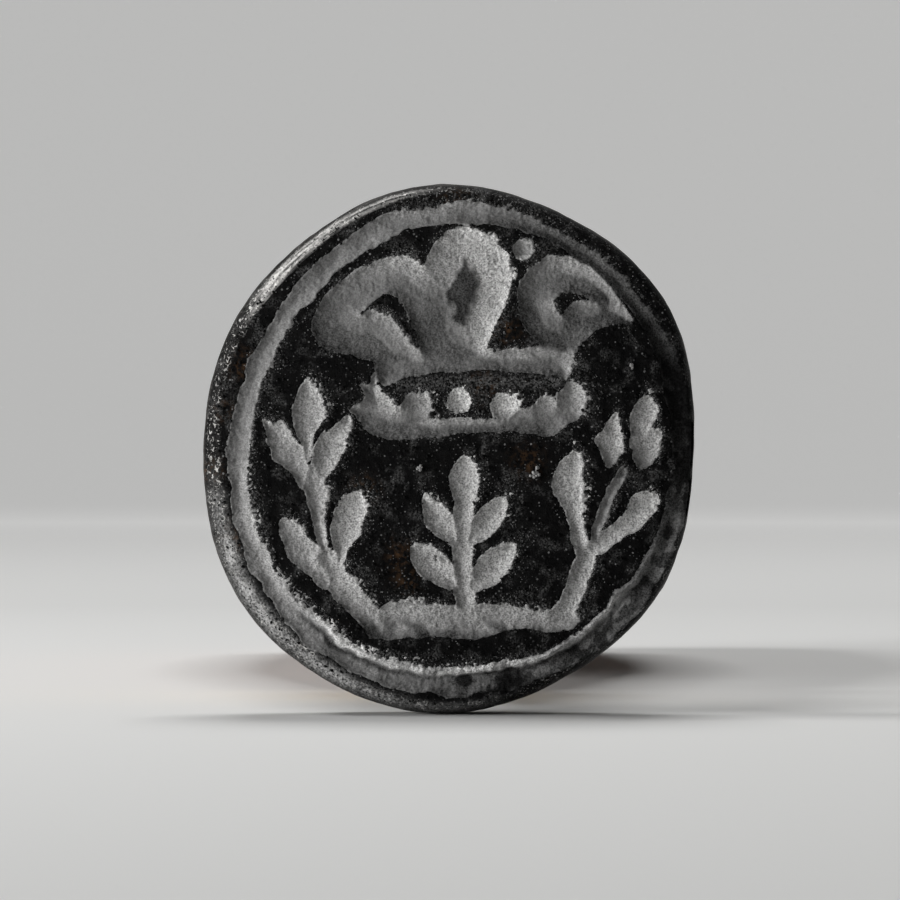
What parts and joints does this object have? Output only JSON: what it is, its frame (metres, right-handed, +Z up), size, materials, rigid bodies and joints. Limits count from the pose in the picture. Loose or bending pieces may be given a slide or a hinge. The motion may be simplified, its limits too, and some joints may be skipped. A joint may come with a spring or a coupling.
{
  "type": "wax seal stamp",
  "caption": "Hand seal stamp: an oval engraved iron die with white powder in its engraving, screwed on a stud to a turned wooden handle with planed flats and a brass ferrule.",
  "frame": {"origin": "middle of the die's engraved face, on the stamp's axis", "axes": "the stamp lies along Y as on a desk: the engraved face looks along -Y, the handle runs towards +Y, +Z is up and is the top of the engraved device"},
  "size_m": [0.024, 0.0915, 0.024],
  "materials": {
    "iron": "satin",
    "chalk": "matte",
    "leather": "matte",
    "steel": "satin",
    "brass": "satin",
    "wood": "satin"
  },
  "bodies": {
    "handle": {"handle": "wood", "ferrule": "brass", "insert": "brass", "stud": "steel"},
    "washer": {"leather_washer": "leather"},
    "die": {"seal_die": "iron", "chalk_infill": "chalk"}
  },
  "joints": [
    {"name": "die_turn", "type": "hinge", "parent": "handle", "child": "washer", "pos_m": [0, 0.0155, 0], "axis": [0, -1, 0], "range_deg": [0, 3240]},
    {"name": "die_travel", "type": "slide", "parent": "washer", "child": "die", "axis": [0, -1, 0], "range_m": [0, 0.009]}
  ],
  "couplings": [
    {"joint": "die_travel", "follows": "die_turn", "m_per_rad": 0.00015915}
  ]
}
